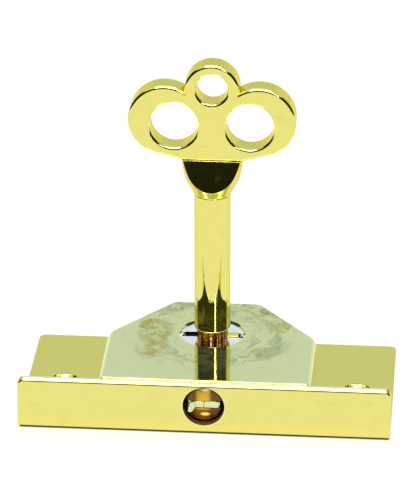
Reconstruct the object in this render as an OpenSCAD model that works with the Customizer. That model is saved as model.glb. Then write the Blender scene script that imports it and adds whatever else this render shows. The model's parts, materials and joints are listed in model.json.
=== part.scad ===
// Small bolt lock with its key standing in the keyhole.
// An L-shaped brass bracket carries a closed case. Turning the key turns a rotor,
// whose pin throws a round bolt forward through the bracket's flange while two
// steel hooks in the bolt's slot swing outward.
// Millimetres. X along the flange, -Y out of the flange's front face, +Z up the key.
// Origin: centre of the base plate's underside.

/* [Bracket] */
// length of the flange and the base plate
plate_l = 76; // [70:0.5:100]
// depth of the base plate, flange included
plate_d = 38.9; // [38.4:0.1:46]
// height of the flange over the underside
flange_h = 10.9; // [10.7:0.1:11.2]
// thickness of the bracket's sheet
sheet_t = 1.8; // [1.6:0.1:1.9]
// radius of the bracket's outer corners
corner_r = 1.4; // [0.8:0.1:3]
// outer radius of the bend between flange and base
bend_r = 1; // [0.4:0.1:1.4]
// distance of each screw hole from the middle
screw_x = 30.5; // [27:0.5:34]
// how far the screw holes lie in front of the middle
screw_y = 1; // [-4:0.1:4]
// diameter of the screw holes
screw_d = 3.4; // [2.6:0.1:4]
// width of their countersinks
csk_d = 5; // [4.4:0.1:6.4]
// diameter of the bolt's hole in the flange
bolt_hole_d = 8.5; // [8.4:0.1:8.8]
// height of the bolt's axis
bolt_z = 6.17; // [6.05:0.01:6.2]

/* [Case] */
// width of the case
case_w = 43.4; // [41.5:0.1:50]
// height of the case's top face
case_h = 11.2; // [11.2:0.1:12.5]
// thickness of the case's sheet
case_t = 1; // [0.8:0.1:1]
// outer radius of the case's top edges
case_bend = 1; // [0.4:0.1:1.2]
// where each slanted rear side starts, behind the flange's front face
slant_y = 23.2; // [22:0.1:25]
// width of the rear side
rear_w = 18.6; // [17.5:0.1:22]
// keyhole diameter
keyhole_d = 13.6; // [13.4:0.1:14]
// distance of the key's axis behind the middle of the base plate
key_y = 4.35; // [4:0.05:4.7]

/* [Lock work] */
// radial clearance of the rotor in the keyhole and on its stud
run_gap = 0.05; // [0.03:0.01:0.08]
// how far the rotor's top lies below the top face of the case
rotor_sink = 0.5; // [0.2:0.1:0.7]
// width of the slot across the rotor
rotor_slot = 2.2; // [1.8:0.1:2.6]
// distance of the drive pin from the rotor's axis
pin_orbit = 5.67; // [5.2:0.01:5.7]
// metal left in the slide plate behind the stud's slot
slide_web = 2.85; // [2.2:0.05:3.2]
// diameter of the drive pin
pin_d = 2.5; // [2:0.1:2.6]
// diameter of the round bolt
bolt_d = 7.8; // [7.4:0.1:7.8]
// how far the bolt's face lies behind the flange's front face
bolt_sink = 0.8; // [0.4:0.1:1.2]
// radius of the bolt's domed end
nose_r = 5.6; // [5:0.1:9]
// thickness of the slide plate
slide_t = 2; // [1.6:0.1:2]
// thickness of the hooks
hook_t = 1.4; // [1:0.1:1.5]
// width of one hook
hook_w = 2.7; // [2.2:0.1:2.7]

/* [Key] */
// height of the top of the key's bow
key_h = 72.05; // [68:0.05:75]
// height of the bow itself, above the collar
bow_h = 20.9; // [20.4:0.1:21.4]
// thickness of the bow
bow_t = 4.8; // [4:0.1:5]
// width of the bow's flat lower edge
bow_foot = 12; // [10:0.5:12.6]
// height of the side lobes' centres above that edge
lobe_up = 8.65; // [8.4:0.05:9]
// height of the large holes' centres above it
eye_up = 7.65; // [7.4:0.05:7.9]
// height of the top hole's centre above it
ring_up = 15.65; // [15.4:0.05:15.9]
// distance of the side lobes' centres from the middle
lobe_x = 9.6; // [9:0.1:10.5]
// radius of the side lobes
lobe_r = 7.45; // [7:0.05:8]
// radius of the top lobe
crown_r = 5.6; // [5.2:0.1:6]
// distance of the large holes from the middle
eye_x = 7.7; // [7.2:0.1:8.2]
// radius of the large holes, which are round
eye_r = 4.9; // [4.2:0.1:5.1]
// radius of the top hole
ring_r = 3.2; // [2.6:0.1:3.4]
// widest diameter of the collar under the bow
collar_d = 12.7; // [11.6:0.1:13.4]
// height of the collar
collar_h = 7.9; // [7.4:0.1:8.4]
// diameter of the sleeve
sleeve_d = 7.4; // [7:0.1:7.6]
// diameter of the post inside the sleeve
post_d = 6.4; // [5.8:0.1:6.4]
// gap between the case's top face and the sleeve's lower end
sleeve_gap = 1.57; // [1:0.01:3]
// how far the key's bit reaches from the axis
bit_reach = 5.5; // [4.8:0.1:5.6]

/* [Hidden] */
$fn = 96;
e = 0.5;
y0 = -plate_d / 2;                 // the flange's front face
y_in = y0 + sheet_t;               // its rear face
shoulder_r = 1.9;                  // of the rotor's stud
throw = pin_orbit * sqrt(2);       // the bolt's travel for a quarter turn
rear_gap = 1.231;                  // between the slide plate and the case's rear wall
slide_y2 = key_y + throw + shoulder_r + slide_web;
// case plan
cx = case_w / 2;
cy = y0 + slant_y;
rx = rear_w / 2;
ry = slide_y2 + rear_gap + case_t; // the rear side, clear of the slide plate
sl = sqrt(pow(cx - rx, 2) + pow(ry - cy, 2));
na = (ry - cy) / sl;               // unit normal of the slanted side
nb = (cx - rx) / sl;
lid_z = case_h - case_t;           // underside of the case's top
post_r = 2;
post_spigot = 1.2;
post_in = case_t + post_r + 2.4;   // how far the rear posts stand inside the case's sides
front_in = case_t + post_r + 1.2;
posts = [[-cx + front_in, y_in + front_in], [cx - front_in, y_in + front_in],
  [cx - post_in, cy + 0.4], [-cx + post_in, cy + 0.4]];
blind = 1.2;                       // depth of the riveted spigots in the base
// rotor
slide_z = sheet_t + 0.05;
slide_top = slide_z + slide_t;
rotor_z = slide_top + 0.45;
rotor_top = case_h - rotor_sink;
neck_r = keyhole_d / 2 - run_gap;
rim_r = neck_r + 1.15;
rim_z = lid_z - 0.1;
rim_t = 1.2;
rotor_r = pin_orbit + pin_d / 2 + 0.4;
floor_z = rotor_z + 2;
stud_r = 1.2;
pin_bite = 1.7;                    // how far the drive pin goes up into the rotor
pin_at = [pin_orbit / sqrt(2), key_y + pin_orbit / sqrt(2)];
// slide
slide_hw = 9;
front_gap = 0.35;                  // between the thrown slide plate and the case's front wall
slide_y1 = y_in + case_t + throw + front_gap;
slot_hw = shoulder_r + 0.25;
pin_play = 0.25;
rail_w = 2;
lip_t = 0.6;
// bolt
bolt_r = bolt_d / 2;
bolt_y1 = y0 + bolt_sink;
bolt_y2 = key_y - rim_r - 1.3;
rivet_r = 0.262 * (bolt_y2 - slide_y1);  // the rivets follow the seat between bolt and slide plate
rivets_x = 1.8;
rivets_y = (slide_y1 + bolt_y2) / 2;
hook_x = hook_w / 2 + 0.06;
hook_y = y0 + 7.5;
hook_l = hook_y - bolt_y1 - 0.15;
hook_pin_r = 0.6;
hook_gap = 0.1;
hook_barb = 0.5;                   // how far each hook's nose stands out sideways
// key
bow_top = key_h;
bow_z = key_h - bow_h;             // the bow's flat lower edge, on the collar
lobe_z = bow_z + lobe_up;
eye_z = bow_z + eye_up;
crown_z = bow_top - crown_r;
ring_z = bow_z + ring_up;
collar_z = bow_z - collar_h;
sleeve_z = case_h + sleeve_gap;
post_r2 = post_d / 2;
socket = 3.25;
facet_y = bow_t / 2 + 0.1;         // where each facet starts at the top of the collar
facet_lean = 19;
bit_z1 = floor_z + 0.65;
bit_z2 = rotor_top + 0.3;
bit_t = rotor_slot - 0.3;
bit_in = post_r2 / 2;              // where the bit starts inside the post

module plate_2d(l, h, r) {         // a rectangle with its two upper corners rounded
  translate([-l / 2, 0]) square([l, h - r]);
  translate([-l / 2 + r, 0]) square([l - 2 * r, h]);
  for (s = [-1, 1]) translate([s * (l / 2 - r), h - r]) circle(r = r);
}

module side_slab(p, q, h, r) {     // all that lies inside the side p to q, its top edge rounded
  d = q - p;
  far = 2 * case_w;
  translate([p[0], p[1], 0]) rotate([0, 0, atan2(d[1], d[0])]) translate([-far, 0, 0])
    rotate([90, 0, 90]) linear_extrude(3 * far) {
      square([far, h - r]);
      translate([r, 0]) square([far, h]);
      translate([r, h - r]) circle(r = r);
    }
}

module mounting_bracket() {
  color([0.85, 0.82, 0.45]) difference() {
    union() {
      translate([0, y0, 0]) linear_extrude(sheet_t) plate_2d(plate_l, plate_d, corner_r);
      translate([0, y_in, 0]) rotate([90, 0, 0])
        linear_extrude(sheet_t) plate_2d(plate_l, flange_h, corner_r);
    }
    // the bend's outer radius along the lower front edge
    translate([0, y0, 0]) difference() {
      translate([-plate_l / 2 - e, -e, -e]) cube([plate_l + 2 * e, bend_r + e, bend_r + e]);
      translate([-plate_l / 2 - 2 * e, bend_r, bend_r]) rotate([0, 90, 0])
        cylinder(r = bend_r, h = plate_l + 4 * e);
    }
    translate([0, y_in + e, bolt_z]) rotate([90, 0, 0]) cylinder(d = bolt_hole_d, h = sheet_t + 2 * e);
    for (s = [-1, 1]) translate([s * screw_x, -screw_y, 0]) {
      translate([0, 0, -e]) cylinder(d = screw_d, h = sheet_t + 2 * e);
      translate([0, 0, sheet_t - (csk_d - screw_d) / 2])
        cylinder(d1 = screw_d, d2 = csk_d, h = (csk_d - screw_d) / 2);
    }
    for (p = posts) translate([p[0], p[1], sheet_t - blind]) cylinder(r = post_spigot, h = blind + e);
    translate([0, key_y, sheet_t - blind]) cylinder(r = stud_r, h = blind + e);
  }
}

module case_plan(t) {              // the six-sided plan, t inside the outer faces
  k = t * nb / (1 + na);
  m = t * na / (1 + nb);
  polygon([[-cx + t, y_in + t], [cx - t, y_in + t], [cx - t, cy - k], [rx - m, ry - t],
    [-rx + m, ry - t], [-cx + t, cy - k]]);
}

module case_cover() {
  p = [[-cx, y_in], [cx, y_in], [cx, cy], [rx, ry], [-rx, ry], [-cx, cy]];
  color([0.78, 0.80, 0.55]) difference() {
    intersection() {
      translate([-case_w, -plate_d, sheet_t]) cube([2 * case_w, 2 * plate_d, case_h]);
      side_slab(p[0], p[1], case_h, case_bend);
      side_slab(p[1], p[2], case_h, case_bend);
      side_slab(p[2], p[3], case_h, case_bend);
      side_slab(p[3], p[4], case_h, case_bend);
      side_slab(p[4], p[5], case_h, case_bend);
      side_slab(p[5], p[0], case_h, case_bend);
    }
    translate([0, 0, sheet_t - e]) linear_extrude(lid_z - sheet_t + e) case_plan(case_t);
    translate([0, key_y, lid_z - e]) cylinder(d = keyhole_d, h = case_t + 2 * e);
    // the bolt's way through the front wall
    translate([-bolt_hole_d / 2 - 0.15, y_in - e, sheet_t - e])
      cube([bolt_hole_d + 0.3, case_t + 2 * e, lid_z - sheet_t + e]);
  }
}

module cover_post(i) {
  color([0.72, 0.66, 0.36]) translate([posts[i][0], posts[i][1], 0]) {
    translate([0, 0, sheet_t - blind]) cylinder(r = post_spigot, h = blind);
    translate([0, 0, sheet_t]) cylinder(r = post_r, h = lid_z - sheet_t);
  }
}

module guide_rail(s) {             // L-shaped strip that keeps the slide plate down and straight
  yr = y_in + 2.6;
  lr = key_y + 9.15 - yr;
  color([0.70, 0.66, 0.40]) mirror([s < 0 ? 1 : 0, 0, 0]) {
    translate([slide_hw + 0.1, yr, sheet_t]) cube([rail_w, lr, slide_top + 0.1 + lip_t - sheet_t]);
    translate([slide_hw - 1, yr, slide_top + 0.1]) cube([1.1 + rail_w / 2, lr, lip_t]);
  }
}

module rotor_stud() {
  color([0.55, 0.56, 0.58]) translate([0, key_y, 0]) {
    translate([0, 0, sheet_t - blind]) cylinder(r = stud_r, h = blind);
    translate([0, 0, sheet_t]) cylinder(r = shoulder_r, h = rotor_z - sheet_t);
    translate([0, 0, rotor_z]) cylinder(r = stud_r, h = floor_z - rotor_z - 0.1);
  }
}

module rotor() {
  color([0.72, 0.73, 0.74]) translate([0, key_y, 0]) difference() {
    union() {
      translate([0, 0, rotor_z]) cylinder(r = rotor_r, h = rim_z - rotor_z);
      translate([0, 0, rim_z - rim_t]) cylinder(r = rim_r, h = rim_t);
      translate([0, 0, rim_z - 0.2]) cylinder(r = neck_r, h = rotor_top - rim_z + 0.2);
    }
    translate([0, 0, floor_z]) cylinder(r = post_r2 + run_gap, h = rotor_top);
    translate([-bit_reach - 0.2, -rotor_slot / 2, floor_z])
      cube([2 * bit_reach + 0.4, rotor_slot, rotor_top]);
    // above the rim the slot runs right across
    translate([-rim_r, -rotor_slot / 2, rim_z]) cube([2 * rim_r, rotor_slot, rotor_top]);
    translate([0, 0, rotor_z - e]) cylinder(r = stud_r + run_gap, h = 3 + e);
    translate([pin_at[0], pin_at[1] - key_y, rotor_z - e]) cylinder(d = pin_d, h = pin_bite + e);
  }
}

module drive_pin() {
  color([0.60, 0.61, 0.63]) translate([pin_at[0], pin_at[1], slide_z + 0.35])
    cylinder(d = pin_d, h = rotor_z + pin_bite - slide_z - 0.35);
}

module bow_2d() {
  // where the tangent from the flat bottom's end touches the side lobe
  ex = bow_foot / 2;
  dx = lobe_x - ex;
  dz = lobe_z - bow_z;
  dd = sqrt(dx * dx + dz * dz);
  ta = atan2(dz, dx) - asin(lobe_r / dd);
  tl = sqrt(dd * dd - lobe_r * lobe_r);
  tx = ex + tl * cos(ta);
  tz = bow_z + tl * sin(ta);
  difference() {
    union() {
      polygon([[-ex, bow_z], [ex, bow_z], [tx, tz], [lobe_x, lobe_z], [crown_r - 0.2, crown_z - 0.5],
        [0.2 - crown_r, crown_z - 0.5], [-lobe_x, lobe_z], [-tx, tz]]);
      for (s = [-1, 1]) translate([s * lobe_x, lobe_z]) circle(r = lobe_r);
      translate([0, crown_z]) circle(r = crown_r);
    }
    for (s = [-1, 1]) translate([s * eye_x, eye_z]) circle(r = eye_r);
    translate([0, ring_z]) circle(r = ring_r);
  }
}

module key_bow() {
  cr = collar_d / 2;
  color([0.88, 0.86, 0.48]) translate([0, key_y, 0]) {
    translate([0, bow_t / 2, 0]) rotate([90, 0, 0]) linear_extrude(bow_t) bow_2d();
    difference() {
      rotate_extrude() polygon([[0, collar_z], [sleeve_d / 2 + 0.05, collar_z],
        [cr - 1.62, collar_z + collar_h * 0.235], [cr - 0.9, collar_z + collar_h * 0.41],
        [cr - 0.4, collar_z + collar_h * 0.64], [cr, collar_z + collar_h * 0.9],
        [cr, bow_z], [0, bow_z]]);
      translate([0, 0, collar_z - e]) cylinder(r = post_r2, h = socket + e);
      for (s = [0, 180]) rotate([0, 0, s]) translate([0, -facet_y, bow_z])
        rotate([-facet_lean, 0, 0]) translate([-collar_d, -collar_d, -1.5 * collar_h])
          cube([2 * collar_d, collar_d, 2 * collar_h]);
    }
  }
}

module key_sleeve() {
  color([0.88, 0.86, 0.48]) translate([0, key_y, sleeve_z]) difference() {
    cylinder(d = sleeve_d, h = collar_z - sleeve_z);
    translate([0, 0, -e]) cylinder(r = post_r2, h = collar_z - sleeve_z + 2 * e);
  }
}

module key_post() {
  color([0.80, 0.74, 0.42]) translate([0, key_y, 0]) difference() {
    translate([0, 0, floor_z]) cylinder(r = post_r2, h = collar_z + socket - floor_z);
    translate([bit_in, -bit_t / 2, bit_z1]) cube([post_r2, bit_t, bit_z2 - bit_z1]);
  }
}

module key_bit() {
  color([0.84, 0.78, 0.44]) translate([bit_in, key_y - bit_t / 2, bit_z1])
    cube([bit_reach - bit_in, bit_t, bit_z2 - bit_z1]);
}

module bolt_head() {
  color([0.74, 0.62, 0.34]) difference() {
    intersection() {
      translate([0, bolt_y2, bolt_z]) rotate([90, 0, 0]) cylinder(r = bolt_r, h = bolt_y2 - bolt_y1);
      union() {                      // the domed end
        translate([0, bolt_y1 + nose_r, bolt_z]) rotate([90, 0, 0]) sphere(r = nose_r);
        translate([0, bolt_y2 + e, bolt_z]) rotate([90, 0, 0])
          cylinder(r = bolt_d, h = bolt_y2 + e - bolt_y1 - nose_r);
      }
    }
    // seat on the slide plate
    translate([-bolt_r - e, slide_y1, 0]) cube([bolt_d + 2 * e, bolt_y2 - slide_y1 + e, slide_top]);
    // flat top, where the bolt would meet a lower lid
    translate([-bolt_r - e, y_in - 0.1, lid_z - 0.1]) cube([bolt_d + 2 * e, plate_d, bolt_d]);
    // slot for the hooks
    translate([-bolt_r - e, bolt_y1 - e, bolt_z - hook_t / 2 - hook_gap])
      cube([bolt_d + 2 * e, hook_y + hook_w / 2 + 0.4 - bolt_y1 + e, hook_t + 2 * hook_gap]);
    for (s = [-1, 1]) {
      translate([s * hook_x, hook_y, bolt_z - 2.9]) cylinder(r = hook_pin_r, h = 5.8);
      translate([s * rivets_x, rivets_y, slide_top - e]) cylinder(r = rivet_r, h = 3 + e);
    }
  }
}

module bolt_slide() {
  color([0.62, 0.63, 0.65]) translate([0, 0, slide_z]) difference() {
    translate([-slide_hw, slide_y1, 0]) cube([2 * slide_hw, slide_y2 - slide_y1, slide_t]);
    // long slot for the stud's shoulder
    translate([-slot_hw, key_y, -e]) cube([2 * slot_hw, throw, slide_t + 2 * e]);
    for (y = [key_y, key_y + throw]) translate([0, y, -e]) cylinder(r = slot_hw, h = slide_t + 2 * e);
    // cross slot for the drive pin
    translate([0, pin_at[1] - pin_d / 2 - pin_play, -e])
      cube([pin_orbit + pin_d / 2 + pin_play, pin_d + 2 * pin_play, slide_t + 2 * e]);
    for (s = [-1, 1]) translate([s * rivets_x, rivets_y, -e]) cylinder(r = rivet_r, h = slide_t + 2 * e);
  }
}

module slide_rivet(s) {
  color([0.76, 0.66, 0.38]) translate([s * rivets_x, rivets_y, slide_z]) cylinder(r = rivet_r, h = slide_t + 3);
}

module hook(s) {
  a = hook_w / 2 - 0.02;
  color([0.66, 0.68, 0.70]) translate([s * hook_x, hook_y, bolt_z - hook_t / 2])
    mirror([s < 0 ? 1 : 0, 0, 0]) difference() {
      union() {
        cylinder(d = hook_w, h = hook_t);
        linear_extrude(hook_t) polygon([[-a, 0], [a, 0], [a, 1 - hook_l], [a + hook_barb, 0.8 - hook_l],
          [a + hook_barb, 0.3 - hook_l], [a - 0.3, -hook_l], [0.2 - a, -hook_l], [-a, 0.2 - hook_l]]);
      }
      translate([0, 0, -e]) cylinder(r = hook_pin_r + run_gap, h = hook_t + 2 * e);
    }
}

module hook_pin(s) {
  color([0.55, 0.56, 0.58]) translate([s * hook_x, hook_y, bolt_z - 2.9]) cylinder(r = hook_pin_r, h = 5.8);
}

module cover_post_1() { cover_post(0); }
module cover_post_2() { cover_post(1); }
module cover_post_3() { cover_post(2); }
module cover_post_4() { cover_post(3); }
module guide_rail_left() { guide_rail(-1); }
module guide_rail_right() { guide_rail(1); }
module slide_rivet_left() { slide_rivet(-1); }
module slide_rivet_right() { slide_rivet(1); }
module hook_left() { hook(-1); }
module hook_right() { hook(1); }
module hook_pin_left() { hook_pin(-1); }
module hook_pin_right() { hook_pin(1); }

mounting_bracket();
case_cover();
cover_post_1();
cover_post_2();
cover_post_3();
cover_post_4();
guide_rail_left();
guide_rail_right();
rotor_stud();
rotor();
drive_pin();
key_bow();
key_sleeve();
key_post();
key_bit();
bolt_head();
bolt_slide();
slide_rivet_left();
slide_rivet_right();
hook_left();
hook_right();
hook_pin_left();
hook_pin_right();
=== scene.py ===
# %% [markdown]
# # A small brass lock with its key
# This notebook dresses a lock that a CAD program has already built to size. The lock is an
# L-shaped brass bracket with a six-sided case behind its flange, a round bolt that comes out
# through the flange, and a polished key standing in the keyhole. We load the CAD parts as a
# fixed frame, model finer versions of the pieces that show, give each metal its own finish,
# and light it all as on a photographer's white table.

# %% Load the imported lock
import json
import math
import bpy
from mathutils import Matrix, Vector


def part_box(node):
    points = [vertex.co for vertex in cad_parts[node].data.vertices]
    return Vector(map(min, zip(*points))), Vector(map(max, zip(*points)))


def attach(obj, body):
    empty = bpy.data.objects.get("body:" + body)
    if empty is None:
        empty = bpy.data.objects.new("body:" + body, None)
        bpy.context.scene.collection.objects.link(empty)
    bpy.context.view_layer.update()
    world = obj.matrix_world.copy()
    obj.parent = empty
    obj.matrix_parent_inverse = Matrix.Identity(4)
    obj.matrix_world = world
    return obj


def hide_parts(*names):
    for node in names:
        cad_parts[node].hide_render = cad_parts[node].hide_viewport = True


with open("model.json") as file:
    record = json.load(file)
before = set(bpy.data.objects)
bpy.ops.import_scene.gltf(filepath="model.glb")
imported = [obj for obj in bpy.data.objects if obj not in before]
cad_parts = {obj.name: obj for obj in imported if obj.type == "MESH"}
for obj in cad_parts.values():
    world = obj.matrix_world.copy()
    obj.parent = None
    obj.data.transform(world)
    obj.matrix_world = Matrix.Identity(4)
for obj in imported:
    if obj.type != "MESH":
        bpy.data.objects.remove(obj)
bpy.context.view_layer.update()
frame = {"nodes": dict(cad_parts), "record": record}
MM = 0.001

# %% [markdown]
# ## The sizes we work with
# The frame's origin is the middle of the base plate's underside. X runs along the flange, the
# bolt comes out towards -Y, and the key stands along +Z. We read most places from the CAD
# pieces' boxes, so that the fine pieces land where the plain ones are. A box doesn't tell a
# sheet's thickness or a hole's radius, so those sizes are named below.

# %% Read the places from the frame
plate_low, plate_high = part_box("mounting_bracket")
case_low, case_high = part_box("case_cover")
bow_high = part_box("key_bow")[1]
sleeve_low, sleeve_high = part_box("key_sleeve")
rotor_low, rotor_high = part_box("rotor")
bolt_low, bolt_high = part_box("bolt_head")
KEY_Y = (sleeve_low.y + sleeve_high.y) / 2
FRONT = plate_low.y
REAR = plate_high.y
BOLT_Z = (bolt_low.z + bolt_high.z) / 2
SHEET = 1.8 * MM
CASE_WALL = 1 * MM
BOLT_HOLE_R = 4.25 * MM
KEYHOLE_R = 6.8 * MM
SCREW_X, SCREW_Y, SCREW_R, SINK_R = 30.5 * MM, -1 * MM, 1.7 * MM, 2.8 * MM
BARREL_R, POST_R = 3.7 * MM, 3.2 * MM
PIVOT_X, PIVOT_Y = 1.41 * MM, -11.95 * MM
print("the key's axis is at y = %.2f mm" % (KEY_Y / MM))

# %% [markdown]
# ## The camera
# The photograph was taken a little from the right and from about 25 degrees above, with a
# long lens from about 73 cm away. The camera is placed by the point it looks at, its two
# angles and its distance, which is easier to reason about than a bare position.

# %% Aim the camera
AIM = Vector((0.0, -7.45 * MM, 35.69 * MM))
TURN, RISE, AWAY = math.radians(4.46), math.radians(25.18), 734.8 * MM
SENSOR, FOCAL_PIXELS, PICTURE_HEIGHT = 36, 3632.3, 500
back = Vector((math.sin(TURN) * math.cos(RISE), -math.cos(TURN) * math.cos(RISE), math.sin(RISE)))
camera_data = bpy.data.cameras.new("camera")
camera_data.sensor_width = SENSOR
camera_data.lens = FOCAL_PIXELS / PICTURE_HEIGHT * SENSOR
camera_data.clip_start, camera_data.clip_end = 0.01, 20
camera = bpy.data.objects.new("camera", camera_data)
camera.location = AIM + back * AWAY
camera.rotation_mode = "QUATERNION"
camera.rotation_quaternion = (-back).to_track_quat("-Z", "Y")
bpy.context.scene.collection.objects.link(camera)
bpy.context.scene.camera = camera
bpy.context.scene.view_settings.view_transform = "Standard"
print("camera %.0f mm away, lens %.0f mm" % (AWAY / MM, camera_data.lens))

# %% [markdown]
# ## Small helpers for modelling by hand
# Operators act on whatever is selected, so each helper first clears the selection. Inside edit
# mode we pick faces and edges by where they lie, just as you would by eye with box select.

# %% Helpers: selecting
def take(obj):
    """Leaves obj as the only selected and the active object."""
    if bpy.context.object and bpy.context.object.mode != "OBJECT":
        bpy.ops.object.mode_set(mode="OBJECT")
    bpy.ops.object.select_all(action="DESELECT")
    obj.select_set(True)
    bpy.context.view_layer.objects.active = obj


def pick(obj, kind, test):
    """In edit mode, selects the faces, edges or vertices that pass the test.

    A face is tested by its centre and its normal, an edge by its two ends.
    """
    take(obj)
    bpy.ops.object.mode_set(mode="EDIT")
    bpy.ops.mesh.select_mode(type=kind)
    bpy.ops.mesh.select_all(action="DESELECT")
    bpy.ops.object.mode_set(mode="OBJECT")
    mesh = obj.data
    if kind == "FACE":
        found = [face for face in mesh.polygons if test(face.center, face.normal)]
    elif kind == "EDGE":
        found = [edge for edge in mesh.edges if test(*(mesh.vertices[i].co for i in edge.vertices))]
    else:
        found = [vertex for vertex in mesh.vertices if test(vertex.co)]
    for part in found:
        part.select = True
    bpy.ops.object.mode_set(mode="EDIT")
    return len(found)


def near(a, b, tolerance=0.02 * MM):
    return abs(a - b) < tolerance


def everything(*where):
    """The test that picks all of a piece."""
    return True


print("selecting helpers ready")


# %% Helpers: primitives, cutting and finishing
def block(name, low, high):
    """A cube primitive stretched between two corners, its place applied to its mesh."""
    low, high = Vector(low), Vector(high)
    bpy.ops.object.select_all(action="DESELECT")
    bpy.ops.mesh.primitive_cube_add(size=1, location=(low + high) / 2)
    obj = bpy.context.object
    obj.name = name
    obj.scale = high - low
    bpy.ops.object.transform_apply(location=True, rotation=True, scale=True)
    return obj


def rod(name, radius, low, high, axis="Z", at=(0, 0), sides=96, radius2=None):
    """A cylinder or cone primitive from low to high along an axis."""
    middle = (low + high) / 2
    place = {"Z": (at[0], at[1], middle), "Y": (at[0], middle, at[1])}[axis]
    turn = {"Z": (0, 0, 0), "Y": (math.pi / 2, 0, 0)}[axis]
    bpy.ops.object.select_all(action="DESELECT")
    bpy.ops.mesh.primitive_cone_add(vertices=sides, radius1=radius, depth=high - low, location=place,
                                    radius2=radius if radius2 is None else radius2, rotation=turn)
    obj = bpy.context.object
    obj.name = name
    bpy.ops.object.transform_apply(location=True, rotation=True, scale=True)
    return obj


def combine(obj, other, how):
    """Applies a boolean modifier and removes the other piece."""
    take(obj)
    cut = obj.modifiers.new("boolean", "BOOLEAN")
    cut.operation, cut.object, cut.solver = how, other, "EXACT"
    bpy.ops.object.modifier_apply(modifier=cut.name)
    bpy.data.objects.remove(other)


def soften(obj, width, segments=3, angle=30):
    """Rounds every edge sharper than the angle, as a polishing wheel does."""
    take(obj)
    bevel = obj.modifiers.new("bevel", "BEVEL")
    bevel.width, bevel.segments, bevel.limit_method = width, segments, "ANGLE"
    bevel.angle_limit = math.radians(angle)
    bevel.use_clamp_overlap = True
    bevel.miter_outer = "MITER_ARC"
    bpy.ops.object.modifier_apply(modifier=bevel.name)


def finish_piece(obj, name, body, node, slot, angle=32):
    """Cleans a finished mesh, smooths it by angle, gives it its metal, hangs it on its body and hides the
    CAD piece it stands for.
    """
    take(obj)
    obj.name = name
    obj.data.name = name
    bpy.ops.object.mode_set(mode="EDIT")
    bpy.ops.mesh.select_all(action="SELECT")
    bpy.ops.mesh.remove_doubles(threshold=0.002 * MM)
    bpy.ops.mesh.normals_make_consistent(inside=False)
    bpy.ops.object.mode_set(mode="OBJECT")
    bpy.ops.object.shade_smooth_by_angle(angle=math.radians(angle))
    even = obj.modifiers.new("even", "WEIGHTED_NORMAL")
    even.weight, even.keep_sharp = 80, True
    bpy.ops.object.modifier_apply(modifier=even.name)
    obj.data.materials.clear()
    obj.data.materials.append(METALS[slot])
    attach(obj, body)
    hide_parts(node)
    print(name, "stands for", node, "with", len(obj.data.polygons), "faces")


print("modelling helpers ready")

# %% [markdown]
# ## Node helpers
# A material is a small program made of nodes. These helpers let us write it almost like
# ordinary maths: a value may be a number or the output of another node. A *mask* is a value
# between 0 and 1 that says where something happens, and most masks here are ramps along one
# direction of the piece.

# %% Helpers: nodes and masks
def new_group(name, inputs, outputs):
    """A node group with its sockets, and the nodes that stand for its inputs and outputs."""
    group = bpy.data.node_groups.new(name, "ShaderNodeTree")
    for kind, label, value in inputs:
        socket = group.interface.new_socket(name=label, in_out="INPUT", socket_type=kind)
        socket.default_value = value
    for kind, label in outputs:
        group.interface.new_socket(name=label, in_out="OUTPUT", socket_type=kind)
    return group, group.nodes.new("NodeGroupInput"), group.nodes.new("NodeGroupOutput")


def put(tree, socket, value):
    """Links a socket to another node's output, or sets it to a plain value."""
    if isinstance(value, bpy.types.NodeSocket):
        tree.links.new(value, socket)
    else:
        socket.default_value = value


def node(tree, kind, **settings):
    """Adds a node. Settings named after inputs set or link them, others are properties."""
    n = tree.nodes.new(kind)
    for key, value in settings.items():
        if key in n.bl_rna.properties and key not in ("inputs", "name"):
            setattr(n, key, value)
        else:
            put(tree, n.inputs[int(key[1:])] if key[0] == "_" else n.inputs[key.replace("_", " ")], value)
    return n


def maths(tree, operation, a, b=0.0):
    return node(tree, "ShaderNodeMath", operation=operation, _0=a, _1=b).outputs[0]


def product(tree, first, *others):
    for other in others:
        first = maths(tree, "MULTIPLY", first, other)
    return first


def hypotenuse(tree, a, b):
    return maths(tree, "SQRT", maths(tree, "ADD", product(tree, a, a), product(tree, b, b)))


def ramp(tree, value, low, high, to_low=0.0, to_high=1.0):
    """Maps value from low..high to to_low..to_high, with soft ends. The low may lie above the high."""
    return node(tree, "ShaderNodeMapRange", interpolation_type="SMOOTHSTEP",
                _0=value, _1=low, _2=high, _3=to_low, _4=to_high).outputs[0]


def band(tree, value, low, low_full, high_full, high):
    """A mask that is 1 between low_full and high_full and fades to 0 at low and high."""
    return product(tree, ramp(tree, value, low, low_full), ramp(tree, value, high, high_full))


def blend_colour(tree, mask, a, b):
    n = tree.nodes.new("ShaderNodeMix")
    n.data_type = "RGBA"
    for socket, value in ((n.inputs[0], mask), (n.inputs[6], a), (n.inputs[7], b)):
        put(tree, socket, value)
    return n.outputs[2]


def place(tree, stretch=None, centre=(0, 0, 0)):
    """The shaded point in the piece's own space, measured from a centre and stretched."""
    here = node(tree, "ShaderNodeTexCoord").outputs["Object"]
    if stretch is None:
        return here
    shift = [-size * along for size, along in zip(stretch, centre)]
    return node(tree, "ShaderNodeVectorMath", operation="MULTIPLY_ADD",
                _0=here, _1=stretch, _2=shift).outputs[0]


def axes(tree, vector=None):
    """The X, Y and Z of a vector, or of the shaded point."""
    return node(tree, "ShaderNodeSeparateXYZ", Vector=place(tree) if vector is None else vector).outputs


def reach(tree, stretch, centre):
    """How far the shaded point lies from a centre, with each axis stretched."""
    away_by = place(tree, stretch, centre)
    return node(tree, "ShaderNodeVectorMath", operation="LENGTH", _0=away_by).outputs["Value"]


def noise(tree, vector, scale, detail, roughness):
    return node(tree, "ShaderNodeTexNoise", Vector=vector, Scale=scale, Detail=detail,
                Roughness=roughness).outputs["Fac"]


print("node helpers ready")

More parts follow.
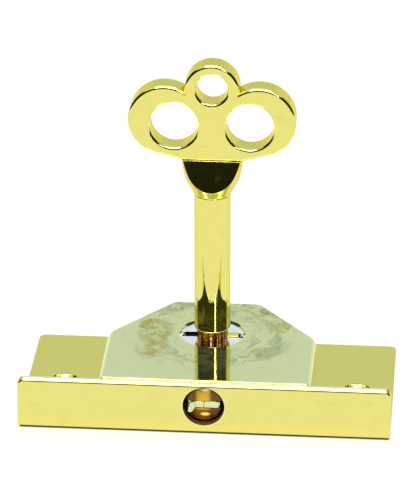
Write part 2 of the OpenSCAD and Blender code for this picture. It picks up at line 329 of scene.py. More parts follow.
# %% [markdown]
# ## Shared effects: polish and handling marks
# Polished sheet brass is never a perfect mirror. It has broad, very low waves from rolling and
# polishing, a fine grain, and dull patches where it was handled. Each effect is a node group
# with its own inputs, so several metals can share it with their own values.

# %% Effect: low waves and grain in a polished face
polish, gin, gout = new_group(
    "polish_waves",
    [("NodeSocketFloat", "Wave Size", 120.0), ("NodeSocketFloat", "Wave Height", 0.2),
     ("NodeSocketFloat", "Grain Height", 0.02), ("NodeSocketVector", "Stretch", (1, 1, 1))],
    [("NodeSocketVector", "Normal")])
coords = node(polish, "ShaderNodeVectorMath", operation="MULTIPLY", _0=place(polish),
              _1=gin.outputs["Stretch"]).outputs[0]
broad = noise(polish, coords, gin.outputs["Wave Size"], 1.0, 0.4)
fine = noise(polish, coords, 2600.0, 2.0, 0.5)
low_bump = node(polish, "ShaderNodeBump", Strength=gin.outputs["Wave Height"], Distance=0.001, Height=broad)
top_bump = node(polish, "ShaderNodeBump", Strength=gin.outputs["Grain Height"], Distance=0.0001,
                Height=fine, Normal=low_bump.outputs[0])
put(polish, gout.inputs["Normal"], top_bump.outputs[0])
print("made the effect", polish.name)

# %% Effect: dull patches in the roughness
wear, gin, gout = new_group(
    "handling_marks",
    [("NodeSocketFloat", "Base", 0.06), ("NodeSocketFloat", "Amount", 0.08),
     ("NodeSocketFloat", "Size", 300.0)],
    [("NodeSocketFloat", "Roughness"), ("NodeSocketFloat", "Marks")])
patches = ramp(wear, noise(wear, place(wear), gin.outputs["Size"], 4.0, 0.6), 0.52, 0.75)
rough = maths(wear, "ADD", gin.outputs["Base"], product(wear, patches, gin.outputs["Amount"]))
put(wear, gout.inputs["Roughness"], rough)
put(wear, gout.inputs["Marks"], patches)
print("made the effect", wear.name)

# %% [markdown]
# ## The metals
# A metal's colour is the colour of its reflections, so brass under white light shows its base
# colour almost as written. The key and the bracket are polished bright brass, the case is a
# paler, greener one with dried polish on it, the rotor is nickel and the hooks are steel. The
# bolt and the key's post are darker and browner, and their colours also carry painted shade,
# painted highlights and painted reflections from inside the lock.

# %% Metal builder
METALS = {}


def metal(slot, colour, dark, rough, wave_size=120.0, wave_height=0.15, marks=0.06, mark_size=300.0,
          grain=0.03, stretch=(1, 1, 1), rim=(1, 1, 1)):
    """A metallic surface with waves, marks, a drift between two tones and a rim colour."""
    material = bpy.data.materials.new(slot)
    material.use_nodes = True
    tree = material.node_tree
    shader = tree.nodes["Principled BSDF"]
    shader.inputs["Metallic"].default_value = 1.0
    shader.inputs["Specular Tint"].default_value = (*rim, 1)
    waves = node(tree, "ShaderNodeGroup", node_tree=polish, Wave_Size=wave_size, Wave_Height=wave_height,
                 Grain_Height=grain, Stretch=stretch)
    worn = node(tree, "ShaderNodeGroup", node_tree=wear, Base=rough, Amount=marks, Size=mark_size)
    tone = blend_colour(tree, product(tree, worn.outputs["Marks"], 0.6), (*colour, 1), (*dark, 1))
    put(tree, shader.inputs["Base Color"], tone)
    put(tree, shader.inputs["Roughness"], worn.outputs["Roughness"])
    put(tree, shader.inputs["Normal"], waves.outputs["Normal"])
    METALS[slot] = material
    return tree, shader, tone


print("metal builder ready")

# %% The plain metals
metal("key_brass", (0.79, 0.735, 0.20), (0.70, 0.64, 0.22), 0.03, 70.0, 0.03, 0.16, 420.0,
      rim=(0.86, 0.78, 0.45))
metal("brass_inner", (0.66, 0.54, 0.22), (0.52, 0.40, 0.16), 0.25, 300.0, 0.2)
metal("nickel", (0.94, 0.94, 0.93), (0.84, 0.84, 0.83), 0.05, 200.0, 0.06)
metal("steel", (0.72, 0.76, 0.44), (0.56, 0.60, 0.38), 0.2, 900.0, 0.35, 0.15, 900.0)
print("made", sorted(METALS))

# %% The bolt's brass, brown but for a middle stripe, with painted shade and two painted highlights
tree, shader, tone = metal("bolt_brass", (0.68, 0.43, 0.045), (0.50, 0.27, 0.03), 0.24, 700.0, 0.4,
                           0.12, 500.0, 0.1, (1, 0.4, 0.3))
across, _, height = axes(tree)
across = maths(tree, "ABSOLUTE", maths(tree, "ADD", across, 0.1 * MM))
# painted shade: the face turns dark brown towards both sides and below the slot
sides = ramp(tree, across, 0.8 * MM, 1.9 * MM, 0.0, 0.9)
tone = blend_colour(tree, sides, tone, (0.11, 0.045, 0.007, 1))
shade_below_slot = ramp(tree, height, BOLT_Z - 1.3 * MM, BOLT_Z - 0.9 * MM, 0.85, 0.0)
tone = blend_colour(tree, shade_below_slot, tone, (0.13, 0.05, 0.008, 1))
# two painted highlights, one below the slot and one at the upper edge
for right, up, stretch, highlight_colour in ((0.3, -2.15, (0.6, 0, 1.4), (1.0, 0.82, 0.16, 1)),
                                  (0.1, 3.2, (0.5, 0, 2.6), (1.0, 0.95, 0.55, 1))):
    from_highlight = reach(tree, stretch, (right * MM, 0, BOLT_Z + up * MM))
    tone = blend_colour(tree, ramp(tree, from_highlight, 0.7 * MM, 0.35 * MM), tone, highlight_colour)
put(tree, shader.inputs["Base Color"], tone)
put(tree, shader.inputs["Metallic"], maths(tree, "SUBTRACT", 1.0, product(tree, sides, 0.3)))
print("made bolt_brass")

# %% The post's brass, painted orange with dark upright stripes as reflections from inside the keyhole
# painted reflection: the orange tone stands for the keyhole's inside mirrored in the post
tree, shader, tone = metal("post_brass", (1.0, 0.48, 0.08), (0.85, 0.30, 0.04), 0.22, 1300.0, 1.2,
                           0.1, 900.0, 0.1, (1, 1, 0.06))
# painted reflection: the dark upright stripes
reflected_stripes = noise(tree, place(tree, (420, 420, 25), (0, KEY_Y, 0)), 1.6, 3.0, 0.6)
tone = blend_colour(tree, ramp(tree, reflected_stripes, 0.46, 0.6), tone, (0.22, 0.06, 0.01, 1))
put(tree, shader.inputs["Base Color"], tone)
print("made post_brass")

# %% The bracket's brass, with its cut edge, its bored hole, and painted highlights and shade on them
tree, shader, tone = metal("brass", (0.79, 0.735, 0.215), (0.75, 0.68, 0.18), 0.05, 90.0, 0.10,
                           rim=(0.92, 0.86, 0.5))
_, deep, height = axes(tree)
# the bolt's hole is rough and painted browner inside as shade, with a painted highlight as a pale ring
# round its mouth
from_hole = reach(tree, (1, 0, 1), (0, 0, BOLT_Z))
bore_and_shade = ramp(tree, from_hole, 4.30 * MM, 4.26 * MM)
mouth_highlight = band(tree, from_hole, 4.27 * MM, 4.31 * MM, 4.41 * MM, 4.46 * MM)
tone = blend_colour(tree, bore_and_shade, tone, (0.50, 0.29, 0.06, 1))
tone = blend_colour(tree, mouth_highlight, tone, (1.0, 0.93, 0.55, 1))
# the flange's upper edge is cut and rough: its top is painted pale as a highlight, with a painted dark
# reflection line just under it
upper = plate_high.z
line = band(tree, height, upper - 0.48 * MM, upper - 0.36 * MM, upper - 0.20 * MM, upper - 0.10 * MM)
tone = blend_colour(tree, product(tree, line, 0.85), tone, (0.24, 0.13, 0.03, 1))
# painted highlight: the near-white cut top, a little less so towards its rear
cut = product(tree, ramp(tree, height, upper - 0.08 * MM, upper - 0.02 * MM),
              ramp(tree, deep, FRONT + 1.25 * MM, FRONT + 1.1 * MM, 0.6, 1.0))
put(tree, shader.inputs["Base Color"], blend_colour(tree, cut, tone, (1.0, 0.96, 0.88, 1)))
unpolished = maths(tree, "MAXIMUM", cut, maths(tree, "MAXIMUM", mouth_highlight, bore_and_shade))
rough = shader.inputs["Roughness"].links[0].from_socket
put(tree, shader.inputs["Roughness"], maths(tree, "ADD", rough, product(tree, unpolished, 0.5)))
print("made brass")

# %% [markdown]
# ## Dried polish on the case
# Dried polish lies round the keyhole as a ring of haze, drawn out into swirls, with thin dark
# lines and a few ochre blots. The swirls are noise in polar coordinates: it is stretched along
# the angle, so it runs round the key.

# %% Effect: dried polish smeared in rings round the keyhole
smear, gin, gout = new_group(
    "dried_polish", [("NodeSocketFloat", "Ring", 12.5 * MM), ("NodeSocketFloat", "Spread", 6.0 * MM)],
    [("NodeSocketFloat", "Ochre"), ("NodeSocketFloat", "Haze"), ("NodeSocketFloat", "Lines")])
coords = place(smear)
drift = maths(smear, "SUBTRACT", noise(smear, coords, 190.0, 2.0, 0.5), 0.5)
x, y, _ = axes(smear, coords)
y = maths(smear, "SUBTRACT", y, KEY_Y)
away = maths(smear, "ADD", hypotenuse(smear, x, y), product(smear, drift, 9 * MM))
angle = maths(smear, "ARCTAN2", y, x)
off = maths(smear, "ABSOLUTE", maths(smear, "SUBTRACT", away, gin.outputs["Ring"]))
ring = ramp(smear, maths(smear, "DIVIDE", off, gin.outputs["Spread"]), 1.0, 0.5)
swirl = node(smear, "ShaderNodeCombineXYZ", X=product(smear, away, 420.0), Y=product(smear, angle, 1.1),
             Z=product(smear, drift, 3.0)).outputs[0]
streak = noise(smear, swirl, 1.0, 4.0, 0.6)
patch = noise(smear, coords, 85.0, 4.0, 0.6)
haze = product(smear, ramp(smear, streak, 0.42, 0.68), ring)
edge = maths(smear, "ABSOLUTE", maths(smear, "SUBTRACT", streak, 0.56))
line = product(smear, ramp(smear, edge, 0.012, 0.004), ring, ramp(smear, patch, 0.50, 0.58))
shake = product(smear, maths(smear, "SUBTRACT", patch, 0.5), 5.0)
blots = product(smear, ramp(smear, patch, 0.56, 0.60), product(smear, ring, 0.5))
# each blot: how far right of and behind the key it lies, and half its width and depth
for right, behind, half_wide, half_deep in ((-11.2, -6.6, 2.4, 5.0), (-13.2, 2.8, 1.9, 2.2),
                                            (13.9, 6.1, 1.5, 3.0), (10.4, 10.0, 2.2, 2.0),
                                            (5.7, 13.1, 1.0, 1.9)):
    u = maths(smear, "DIVIDE", maths(smear, "SUBTRACT", x, right * MM), half_wide * MM)
    v = maths(smear, "DIVIDE", maths(smear, "SUBTRACT", y, behind * MM), half_deep * MM)
    blot = ramp(smear, maths(smear, "ADD", hypotenuse(smear, u, v), shake), 1.3, 0.75)
    blots = maths(smear, "MAXIMUM", blots, blot)
for label, mask in (("Ochre", blots), ("Haze", haze), ("Lines", line)):
    put(smear, gout.inputs[label], mask)
print("made the effect", smear.name)

# %% The case's pale brass
tree, shader, tone = metal("brass_case", (0.745, 0.785, 0.375), (0.72, 0.74, 0.34), 0.06, 70.0, 0.05)
stain = node(tree, "ShaderNodeGroup", node_tree=smear).outputs
tone = blend_colour(tree, product(tree, stain["Haze"], 0.9), tone, (0.37, 0.44, 0.20, 1))
uneven = ramp(tree, noise(tree, place(tree), 330.0, 4.0, 0.7), 0.36, 0.60, 0.30, 1.0)
tone = blend_colour(tree, product(tree, stain["Ochre"], uneven), tone, (0.40, 0.38, 0.07, 1))
put(tree, shader.inputs["Base Color"], blend_colour(tree, stain["Lines"], tone, (0.15, 0.15, 0.08, 1)))
film = maths(tree, "ADD", product(tree, stain["Haze"], 0.10), product(tree, stain["Ochre"], 0.15))
put(tree, shader.inputs["Metallic"], maths(tree, "SUBTRACT", 0.98, film))
print("made brass_case")

# %% Give each CAD piece its metal
for name, obj in frame["nodes"].items():
    slot = next(s["material_slot"] for s in frame["record"]["subparts"] if s["node"] == name)
    for i in range(len(obj.material_slots)):
        obj.material_slots[i].material = METALS[slot]
print("dressed", len(frame["nodes"]), "CAD pieces")

# %% [markdown]
# ## The mounting bracket
# The bracket is one strip of sheet brass, bent once. We start from a thin block, cut it where
# the flange begins, and extrude that strip upwards. The four outer corners are rounded, and
# the bend gets its outer radius, which catches a bright band along the lower edge.

# %% Bend up the bracket
CORNER = 1.4 * MM
bracket = block("bracket", plate_low, (plate_high.x, plate_high.y, SHEET))
pick(bracket, "FACE", everything)
bpy.ops.mesh.bisect(plane_co=(0, FRONT + SHEET, 0), plane_no=(0, 1, 0))
pick(bracket, "FACE", lambda c, n: n.z > 0.9 and c.y < FRONT + SHEET)
bpy.ops.mesh.extrude_region_move(TRANSFORM_OT_translate={"value": (0, 0, plate_high.z - SHEET)})
count = pick(bracket, "EDGE", lambda a, b: near(a.x, b.x) and near(a.z, b.z) and near(a.z, plate_high.z))
bpy.ops.mesh.bevel(offset=CORNER, segments=8, affect="EDGES")
count += pick(bracket, "EDGE", lambda a, b: near(a.x, b.x) and near(a.y, b.y) and near(a.y, REAR))
bpy.ops.mesh.bevel(offset=CORNER, segments=8, affect="EDGES")
print("rounded", count, "corner edges")

# %% Round the bend and the flange's upper edges
ends_of_edge = CORNER + 0.05 * MM
pick(bracket, "EDGE", lambda a, b: near(a.y, FRONT) and near(b.y, FRONT) and near(a.z, 0) and near(b.z, 0))
bpy.ops.mesh.bevel(offset=1.0 * MM, segments=8, affect="EDGES")
pick(bracket, "EDGE", lambda a, b: near(a.y, FRONT) and near(b.y, FRONT)
     and min(a.z, b.z) > plate_high.z - ends_of_edge
     and (near(a.z, b.z) or abs(a.x) > plate_high.x - ends_of_edge))
bpy.ops.mesh.bevel(offset=0.4 * MM, segments=6, affect="EDGES")
pick(bracket, "EDGE", lambda a, b: near(a.y, FRONT + SHEET) and near(b.y, FRONT + SHEET)
     and near(a.z, plate_high.z) and near(b.z, plate_high.z))
bpy.ops.mesh.bevel(offset=0.5 * MM, segments=6, affect="EDGES")
bpy.ops.object.mode_set(mode="OBJECT")
print("bracket has", len(bracket.data.polygons), "faces")

# %% Drill the bolt's hole and the countersunk screw holes
sink_low, sink_high = SHEET - 1.05 * MM, SHEET - 0.25 * MM
bolt_hole = rod("hole", BOLT_HOLE_R, FRONT - 1 * MM, FRONT + 3 * MM, "Y", (0, BOLT_Z))
combine(bracket, bolt_hole, "DIFFERENCE")
for side in (-1, 1):
    at = (side * SCREW_X, SCREW_Y)
    combine(bracket, rod("hole", SCREW_R, -1 * MM, 3 * MM, "Z", at, 48), "DIFFERENCE")
    combine(bracket, rod("sink", SCREW_R, sink_low, sink_high, "Z", at, 64, SINK_R), "DIFFERENCE")
    combine(bracket, rod("rim", SINK_R, sink_high, SHEET + 1 * MM, "Z", at, 64), "DIFFERENCE")
soften(bracket, 0.2 * MM, 4)
finish_piece(bracket, "bracket_sheet", "lock_body", "mounting_bracket", "brass")

# %% [markdown]
# ## The case
# The case is a pressed cover: a box whose two rear corners are cut off at a slant. A block cut
# with two slanted bisect planes gives the plan, and the cut corners are filled as part of the
# cut. The upright corners and the top edges are rounded, but the front edge behind the flange
# is nearly sharp. To keep it so, we draw the form out in front before rounding it and cut it
# off square again. A smaller copy of the plain form hollows it out.

# %% Cut the case's plan
CUT_Y, CUT_X = 3.75 * MM, 9.3 * MM


def six_sided(name, inset, bottom, top):
    """A block with both rear corners cut off, its sides moved inwards by inset."""
    low = (case_low.x + inset, case_low.y + inset, bottom)
    high = (case_high.x - inset, case_high.y - inset, top)
    obj = block(name, low, high)
    for side in (-1, 1):
        outward = Vector((side * (case_high.y - CUT_Y), case_high.x - CUT_X, 0)).normalized()
        at = Vector((side * case_high.x, CUT_Y, 0)) - outward * inset
        pick(obj, "FACE", everything)
        bpy.ops.mesh.bisect(plane_co=at, plane_no=outward, use_fill=True, clear_outer=True)
    bpy.ops.object.mode_set(mode="OBJECT")
    return obj


case = six_sided("case", 0, case_low.z, case_high.z)
print("case block has", len(case.data.polygons), "faces")

# %% Round the case and hollow it
front_wall, top = case_low.y, case_high.z
pick(case, "FACE", lambda c, n: n.y < -0.9)
bpy.ops.transform.translate(value=(0, -3 * MM, 0))
pick(case, "EDGE", lambda a, b: near(a.x, b.x) and near(a.y, b.y) and a.y > front_wall)
bpy.ops.mesh.bevel(offset=1.2 * MM, segments=7, affect="EDGES")
pick(case, "EDGE", lambda a, b: near(a.z, top) and near(b.z, top))
bpy.ops.mesh.bevel(offset=1.1 * MM, segments=8, profile=0.38, affect="EDGES", clamp_overlap=True)
pick(case, "FACE", everything)
bpy.ops.mesh.bisect(plane_co=(0, front_wall, 0), plane_no=(0, -1, 0), use_fill=True, clear_outer=True)
pick(case, "EDGE", lambda a, b: near(a.y, front_wall) and near(b.y, front_wall)
     and max(a.z, b.z) > case_low.z + MM)
bpy.ops.mesh.bevel(offset=0.3 * MM, segments=4, affect="EDGES")
bpy.ops.object.mode_set(mode="OBJECT")
hollow = six_sided("hollow", CASE_WALL, case_low.z - CASE_WALL, top - CASE_WALL)
combine(case, hollow, "DIFFERENCE")
print("case shell has", len(case.data.polygons), "faces")


# %% Open the keyhole and the bolt's way
def on_keyhole(a, b):
    """Whether an edge runs round the keyhole at the case's top."""
    from_key = [math.hypot(end.x, end.y - KEY_Y) for end in (a, b)]
    return near(a.z, top) and near(b.z, top) and all(near(r, KEYHOLE_R, 0.05 * MM) for r in from_key)


WAY_HALF, WAY_TOP = 4.4 * MM, 10.2 * MM
combine(case, rod("keyhole", KEYHOLE_R, top - 2 * MM, top + 1 * MM, "Z", (0, KEY_Y), 128), "DIFFERENCE")
pick(case, "EDGE", on_keyhole)
bpy.ops.mesh.bevel(offset=0.16 * MM, segments=3, affect="EDGES")
bpy.ops.object.mode_set(mode="OBJECT")
way = block("way", (-WAY_HALF, front_wall - 1 * MM, case_low.z - 1 * MM),
            (WAY_HALF, front_wall + 2 * MM, WAY_TOP))
combine(case, way, "DIFFERENCE")
finish_piece(case, "case_shell", "lock_body", "case_cover", "brass_case", 25)

# %% [markdown]
# ## The key's bow
# The bow is a flat cloverleaf, cast in one piece with the collar under it. Its outline is a
# few arcs: a lobe, the crown and the other lobe, which meet where their circles cross. A
# filled curve turns the outline and its three holes into a plate with rounded edges.

# %% Helpers: spun profiles and rounded sheets
def spun(name, profile, at, steps=128):
    """Spins a closed profile of (radius, height) points, in millimetres, round an upright axis."""
    bpy.ops.object.select_all(action="DESELECT")
    bpy.ops.mesh.primitive_circle_add(vertices=len(profile), radius=MM, fill_type="NOTHING")
    obj = bpy.context.object
    obj.name = name
    for v, (r, h) in zip(obj.data.vertices, profile):
        v.co = (r * MM, 0, h * MM)
    pick(obj, "VERT", everything)
    bpy.ops.mesh.spin(steps=steps, angle=2 * math.pi, center=(0, 0, 0), axis=(0, 0, 1))
    bpy.ops.mesh.select_all(action="SELECT")
    bpy.ops.mesh.remove_doubles(threshold=0.002 * MM)
    bpy.ops.mesh.dissolve_degenerate(threshold=0.0005 * MM)
    bpy.ops.mesh.delete_loose(use_verts=True, use_edges=True, use_faces=False)
    bpy.ops.mesh.select_all(action="SELECT")
    bpy.ops.mesh.normals_make_consistent(inside=False)
    bpy.ops.object.mode_set(mode="OBJECT")
    obj.location = (at[0], at[1], 0)
    bpy.ops.object.transform_apply(location=True, rotation=True, scale=True)
    return obj


def around(cx, cy, r, start, end, step=2.5):
    """Points along an arc given in degrees, without its last point."""
    n = max(2, round(abs(end - start) / step))
    turn = [math.radians(start + (end - start) * i / n) for i in range(n)]
    return [(cx + r * math.cos(t), cy + r * math.sin(t)) for t in turn]


def sheet(name, loops, half, edge, at, upright=True):
    """Fills closed loops of points to a sheet with rounded edges, standing in XZ or lying in XY."""
    curve = bpy.data.curves.new(name, "CURVE")
    curve.dimensions, curve.fill_mode = "2D", "BOTH"
    curve.extrude, curve.bevel_depth, curve.offset = (half - edge) * MM, edge * MM, -edge * MM
    curve.bevel_resolution = 7
    for loop in loops:
        line = curve.splines.new("POLY")
        line.points.add(len(loop) - 1)
        for point, (u, v) in zip(line.points, loop):
            point.co = (u * MM, v * MM, 0, 1)
        line.use_cyclic_u = True
    obj = bpy.data.objects.new(name, curve)
    bpy.context.collection.objects.link(obj)
    obj.rotation_euler, obj.location = (math.pi / 2 if upright else 0, 0, 0), at
    take(obj)
    bpy.ops.object.convert(target="MESH")
    bpy.ops.object.transform_apply(location=True, rotation=True, scale=True)
    pick(obj, "VERT", everything)
    bpy.ops.mesh.remove_doubles(threshold=0.002 * MM)
    bpy.ops.mesh.normals_make_consistent(inside=False)
    bpy.ops.object.mode_set(mode="OBJECT")
    return obj


print("helpers for round work ready")

# %% Fill the cloverleaf
# sizes on the bow are in millimetres: where it stands on the collar, and half the foot's width
BOW_Z, FOOT_X = 51.15, 6
lobe, crown = (9.6, BOW_Z + 8.65, 7.45), (0, bow_high.z / MM - 5.6, 5.6)


def meeting(p, q):
    """The directions in which two discs (x, z, radius) see their upper crossing point."""
    dx, dz = q[0] - p[0], q[1] - p[1]
    far = math.hypot(dx, dz)
    along = math.degrees(math.atan2(dz, dx))
    at_p = math.degrees(math.acos((far ** 2 + p[2] ** 2 - q[2] ** 2) / (2 * far * p[2])))
    at_q = math.degrees(math.acos((far ** 2 + q[2] ** 2 - p[2] ** 2) / (2 * far * q[2])))
    return along - at_p, along + 180 + at_q


# the lower edge leaves the foot as a straight line and touches the lobe's circle
to_foot = math.hypot(lobe[0] - FOOT_X, lobe[1] - BOW_Z)
leave = math.degrees(math.atan2(BOW_Z - lobe[1], FOOT_X - lobe[0]) + math.acos(lobe[2] / to_foot))
on_lobe, on_crown = meeting(lobe, crown)
half_loop = [(FOOT_X, BOW_Z)] + around(*lobe, leave, on_lobe) + around(*crown, on_crown - 360, 90)
loop = half_loop + [(0, crown[1] + crown[2])] + [(-u, v) for u, v in reversed(half_loop)]
# each hole: the place of its centre and its radius
round_holes = ((-7.7, 58.8, 4.9), (7.7, 58.8, 4.9), (0, 66.8, 3.2))
holes = [around(x, z, r, 0, 360) for x, z, r in round_holes]
bow = sheet("bow", [loop] + holes, 2.4, 0.62, (0, KEY_Y, 0))
print("bow has", len(bow.data.polygons), "faces")

# %% [markdown]
# ## The collar
# Under the bow the shank widens like a small bell. The profile is spun round the key's axis,
# and its front and back are ground to slanted facets, which look almost black because they
# reflect the dark room behind the camera.

# %% Spin and grind the collar
LEAN = 19
profile = [(0, 46.5), (3.2, 46.5), (3.2, 43.25), (3.74, 43.25), (3.8, 43.3), (3.95, 43.6), (4.25, 44.2),
           (4.6, 44.85), (4.9, 45.4), (5.2, 45.95), (5.47, 46.5), (5.68, 47.1), (5.84, 47.7), (5.97, 48.4),
           (6.1, 49.1), (6.2, 49.8), (6.28, 50.4), (6.34, 50.9), (6.25, 51.12), (5.9, BOW_Z), (0, BOW_Z)]
collar = spun("collar", profile, (0, KEY_Y))
for side in (-1, 1):
    grind = block("grind", (-10 * MM, -10 * MM, -14 * MM), (10 * MM, 0, 3 * MM))
    grind.rotation_euler = (math.radians(-LEAN), 0, 0 if side < 0 else math.pi)
    grind.location = (0, KEY_Y + side * 2.5 * MM, BOW_Z * MM)
    take(grind)
    bpy.ops.object.transform_apply(location=True, rotation=True, scale=True)
    combine(collar, grind, "DIFFERENCE")
soften(collar, 0.12 * MM, 3, 24)
take(bow)
collar.select_set(True)
bpy.ops.object.join()
finish_piece(bow, "cloverleaf_bow", "key", "key_bow", "key_brass", 35)

# %% [markdown]
# ## Sleeve, post and bit
# The barrel is a tube pushed over a thinner post. Its lower end is slightly rounded and stands
# clear of the case, so the post shows below it, painted darker and more orange as reflections
# from inside the keyhole.

# %% Turn the sleeve and the post
sleeve = rod("sleeve", BARREL_R, sleeve_low.z, sleeve_high.z, "Z", (0, KEY_Y), 128)
bore = rod("bore", POST_R, sleeve_low.z - MM, sleeve_high.z + MM, "Z", (0, KEY_Y))
combine(sleeve, bore, "DIFFERENCE")
soften(sleeve, 0.3 * MM, 5)
finish_piece(sleeve, "key_barrel", "key", "key_sleeve", "key_brass")
post_low, post_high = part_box("key_post")
post = rod("post", POST_R, post_low.z, post_high.z, "Z", (0, KEY_Y))
soften(post, 0.3 * MM, 3, 60)
bit_low, bit_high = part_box("key_bit")
combine(post, block("notch", bit_low, bit_high + Vector((MM, 0, 0))), "DIFFERENCE")
finish_piece(post, "key_shank", "key", "key_post", "post_brass")
bit = block("bit", bit_low, bit_high)
soften(bit, 0.2 * MM, 3, 60)
finish_piece(bit, "key_bit_block", "key", "key_bit", "key_brass")

# %% [markdown]
# ## The rotor in the keyhole
# The nickel rotor lies just under the case's top. Its bore takes the key's post, its slot takes
# the bit, and its edges are slightly rounded.

# %% Turn and slot the rotor
rim_top, rim_low, floor_z = 10.1 * MM, 8.9 * MM, rotor_low.z + 2 * MM
NECK_R, RIM_R, DRUM_R = 6.75 * MM, 7.9 * MM, 7.32 * MM
BORE_R, STUD_HOLE_R, SLOT_HALF = 3.25 * MM, 1.25 * MM, 1.1 * MM
above = rotor_high.z + MM
rotor = rod("rotor", NECK_R, rim_top - 0.2 * MM, rotor_high.z, "Z", (0, KEY_Y), 128)
combine(rotor, rod("rim", RIM_R, rim_low, rim_top, "Z", (0, KEY_Y), 128), "UNION")
combine(rotor, rod("drum", DRUM_R, rotor_low.z, rim_low + 0.1 * MM, "Z", (0, KEY_Y), 128), "UNION")
combine(rotor, rod("bore", BORE_R, floor_z, above, "Z", (0, KEY_Y)), "DIFFERENCE")
for half_long, bottom in ((5.7 * MM, floor_z), (8 * MM, rim_top)):
    slot = block("slot", (-half_long, KEY_Y - SLOT_HALF, bottom), (half_long, KEY_Y + SLOT_HALF, above))
    combine(rotor, slot, "DIFFERENCE")
stud_hole = rod("stud hole", STUD_HOLE_R, rotor_low.z - MM, floor_z + MM, "Z", (0, KEY_Y), 48)
combine(rotor, stud_hole, "DIFFERENCE")
soften(rotor, 0.15 * MM, 3)
finish_piece(rotor, "nickel_rotor", "rotor", "rotor", "nickel")

# %% [markdown]
# ## Bolt and hooks
# The bolt's round face lies a little inside the flange's hole. A slot across it holds two
# steel hooks, one beside the other.

# %% Turn the bolt
NOSE_R, FACE_R, BOLT_R, STEPS = 14.0, 3.65, 3.9, 14
tip, tail = bolt_low.y / MM, bolt_high.y / MM
turns = [math.asin(FACE_R / NOSE_R) * i / STEPS for i in range(1, STEPS + 1)]
profile = [(0, tip)] + [(NOSE_R * math.sin(t), tip + NOSE_R - NOSE_R * math.cos(t)) for t in turns]
shoulder = profile[-1][1]
profile += [(3.78, shoulder + 0.13), (3.87, shoulder + 0.3), (BOLT_R, shoulder + 0.5)]
profile += [(BOLT_R, tail - 0.3), (BOLT_R - 0.3, tail), (0, tail)]
head = spun("head", profile, (0, 0))
head.rotation_euler = (-math.pi / 2, 0, 0)
head.location = (0, 0, BOLT_Z)
take(head)
bpy.ops.object.transform_apply(location=True, rotation=True, scale=True)
slide_low, slide_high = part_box("bolt_slide")
seat = block("seat", (-9 * MM, slide_low.y, 0), (9 * MM, bolt_high.y + MM, slide_high.z))
combine(head, seat, "DIFFERENCE")
hook_low, hook_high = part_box("hook_left")
PLAY, SLIT_END, PIN_HALF = 0.1 * MM, -10.2 * MM, 2.9 * MM
slit = block("slit", (-9 * MM, bolt_low.y - MM, hook_low.z - PLAY), (9 * MM, SLIT_END, hook_high.z + PLAY))
combine(head, slit, "DIFFERENCE")
for side in (-1, 1):
    pin = rod("pin", 0.6 * MM, BOLT_Z - PIN_HALF, BOLT_Z + PIN_HALF, "Z", (side * PIVOT_X, PIVOT_Y), 32)
    combine(head, pin, "DIFFERENCE")
finish_piece(head, "round_bolt", "bolt", "bolt_head", "bolt_brass")

# %% Cut the two hooks
# a hook's outline in millimetres from its pivot, with the tip at minus long
wide, long = 1.33, 6.55
pivot = around(0, 0, 1.35, 0, 180, 7.5)
noses = {
    "right": [(-wide - 0.04, 0.05 - long), (0.05 - wide, -long),
              (wide - 0.1, -long), (wide + 0.5, 0.3 - long)],
    "left": [(-wide - 0.04, 0.05 - long), (0.05 - wide, -long),
             (wide - 0.8, -long), (wide + 0.5, 0.55 - long)],
}
for name, nose in noses.items():
    loop = pivot + nose + [(wide + 0.5, 0.8 - long), (wide, 1 - long), (wide, -0.05)]
    side = 1 if name == "right" else -1
    loops = [[(side * u, v) for u, v in loop], around(0, 0, 0.66, 0, 360, 10)]
    at = (side * PIVOT_X, PIVOT_Y, BOLT_Z)
    hook = sheet("hook", loops, 0.7, 0.12, at, False)
    if name == "left":
        # the left hook's tip is bent down
        lip = [(-2.0, 0.65), (-1.75, -0.4), (-2.3, -1.5), (-2.95, -1.75), (-3.25, -1.4),
               (-3.0, -0.1), (-2.7, 0.6)]
        at_tip = (0, PIVOT_Y - (long + 0.1) * MM, BOLT_Z)
        combine(hook, sheet("lip", [lip], 0.22, 0.06, at_tip), "UNION")
    finish_piece(hook, "steel_hook_" + name, "hook_" + name, "hook_" + name, "steel", 40)

# %% [markdown]
# ## Floor and light
# The lock stands on a white table in a bright room. Polished metal shows what it reflects, so
# the world is bright behind the lock and high up, and dark in front of it, where the
# photographer stands.

# %% Lay the table
bpy.ops.object.select_all(action="DESELECT")
bpy.ops.mesh.primitive_plane_add(size=1, location=(0, 0.15, -0.02 * MM))
table = bpy.context.object
table.name = "white_table"
bpy.ops.object.transform_apply(location=True, rotation=False, scale=True)
print("laid", table.name)

# %% [markdown]
# The paper glows a little, so it stays white whatever the lock mirrors. In front of the flange
# it has a painted warm glow of light from the brass, under the bracket a painted shadow, and
# from below it can be seen through.

# %% Make the table's white paper
paper = bpy.data.materials.new("white_paper")
paper.use_nodes = True
tree = paper.node_tree
tree.nodes.remove(tree.nodes["Principled BSDF"])
across, deep, _ = axes(tree)
across = maths(tree, "ABSOLUTE", across)
# painted light: a warm glow on the paper in front of the flange
warm_light_band = product(tree, band(tree, deep, FRONT - 7 * MM, FRONT - 1 * MM, FRONT, FRONT + 0.5 * MM),
                      ramp(tree, across, 44 * MM, 36 * MM))
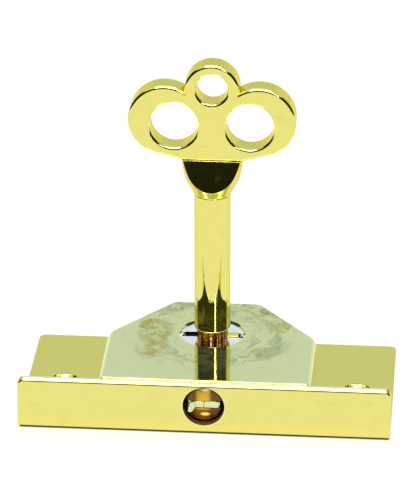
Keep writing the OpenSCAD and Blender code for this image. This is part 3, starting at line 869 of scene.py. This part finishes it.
# painted shadow: the paper is dark under the bracket
shadow_under_bracket = product(tree, band(tree, deep, FRONT - 0.1 * MM, FRONT + 0.5 * MM, REAR - 0.5 * MM, REAR),
                ramp(tree, across, 38 * MM, 37.5 * MM))
paper_light_and_shadow = blend_colour(tree, warm_light_band, (1, 1, 1, 1), (1.12, 1.05, 0.86, 1))
paper_light_and_shadow = blend_colour(tree, shadow_under_bracket, paper_light_and_shadow, (0.05, 0.03, 0.01, 1))
matt = node(tree, "ShaderNodeBsdfDiffuse", Color=(0.10, 0.10, 0.10, 1))
glow = node(tree, "ShaderNodeEmission", Color=paper_light_and_shadow, Strength=0.91)
white = node(tree, "ShaderNodeAddShader", _0=matt.outputs[0], _1=glow.outputs[0])
# it lets light through from below, and in the hair's breadth under the base plate
close_by = maths(tree, "LESS_THAN", node(tree, "ShaderNodeLightPath").outputs["Ray Length"], 0.06 * MM)
through = maths(tree, "MAXIMUM", node(tree, "ShaderNodeNewGeometry").outputs["Backfacing"], close_by)
clear = node(tree, "ShaderNodeBsdfTransparent")
surface = node(tree, "ShaderNodeMixShader", _0=through, _1=white.outputs[0], _2=clear.outputs[0])
put(tree, tree.nodes["Material Output"].inputs["Surface"], surface.outputs[0])
table.data.materials.append(paper)
print("made", paper.name)

# %% [markdown]
# The room is painted by direction: *x*, *y* and *z* are where a ray goes, *turn* is its compass
# angle from the photographer's side and *ahead* says how much it goes that way. Over the bright
# air lie a dark front with some clutter in it, a lamp high up and one narrow bright strip, which
# gives the barrel its thin upright glint.

# %% Light the room
world = bpy.data.worlds.new("studio")
bpy.context.scene.world = world
world.use_nodes = True
tree = world.node_tree
x, y, z = axes(tree, node(tree, "ShaderNodeTexCoord").outputs["Generated"])
front = product(tree, y, -1.0)
ahead = maths(tree, "DIVIDE", front, maths(tree, "MAXIMUM", hypotenuse(tree, x, y), 0.001))
turn = maths(tree, "ARCTAN2", x, front)
behind = product(tree, ramp(tree, ahead, -0.2, -0.7), ramp(tree, z, 0.1, 0.35))
dark = product(tree, ramp(tree, ahead, -0.45, -0.25), band(tree, z, -0.17, -0.13, 0.60, 0.66))
strip = product(tree, band(tree, turn, 0.365, 0.385, 0.42, 0.44), band(tree, z, 0.22, 0.28, 0.56, 0.62))
# straight above there is no lamp, so that the flat brass keeps its colour when seen from the top
lamp = product(tree, band(tree, z, 0.63, 0.68, 0.94, 0.965), ramp(tree, front, -0.5, -0.35),
               ramp(tree, maths(tree, "ABSOLUTE", x), 0.42, 0.34))
print("made the masks of the room")

# %% Paint the dark side and put the room together
spread = node(tree, "ShaderNodeCombineXYZ", X=product(tree, turn, 7.0), Y=product(tree, z, 9.0)).outputs[0]
clutter = product(tree, ramp(tree, noise(tree, spread, 1.3, 4.0, 0.65), 0.53, 0.64),
                  ramp(tree, z, 0.28, 0.36))
gloom = blend_colour(tree, clutter, (0.007, 0.009, 0.007, 1), (0.12, 0.11, 0.035, 1))
faint = ramp(tree, noise(tree, spread, 22.0, 3.0, 0.6), 0.52, 0.64, 0.0, 0.7)
gloom = blend_colour(tree, faint, gloom, (0.09, 0.085, 0.04, 1))
gloom = blend_colour(tree, ramp(tree, z, 0.46, 0.6), gloom, (0.10, 0.06, 0.025, 1))
room = blend_colour(tree, behind, (0.92, 0.93, 0.93, 1), (0.74, 0.80, 0.88, 1))
room = blend_colour(tree, lamp, room, (5.2, 5.2, 5.2, 1))
room = blend_colour(tree, dark, room, gloom)
room = blend_colour(tree, strip, room, (15.0, 15.0, 28.0, 1))
# the camera itself sees plain white behind the lock
seen = blend_colour(tree, node(tree, "ShaderNodeLightPath").outputs["Is Camera Ray"], room, (1, 1, 1, 1))
put(tree, tree.nodes["Background"].inputs["Color"], seen)
tree.nodes["Background"].inputs["Strength"].default_value = 1.0
print("lit the room with", world.name)
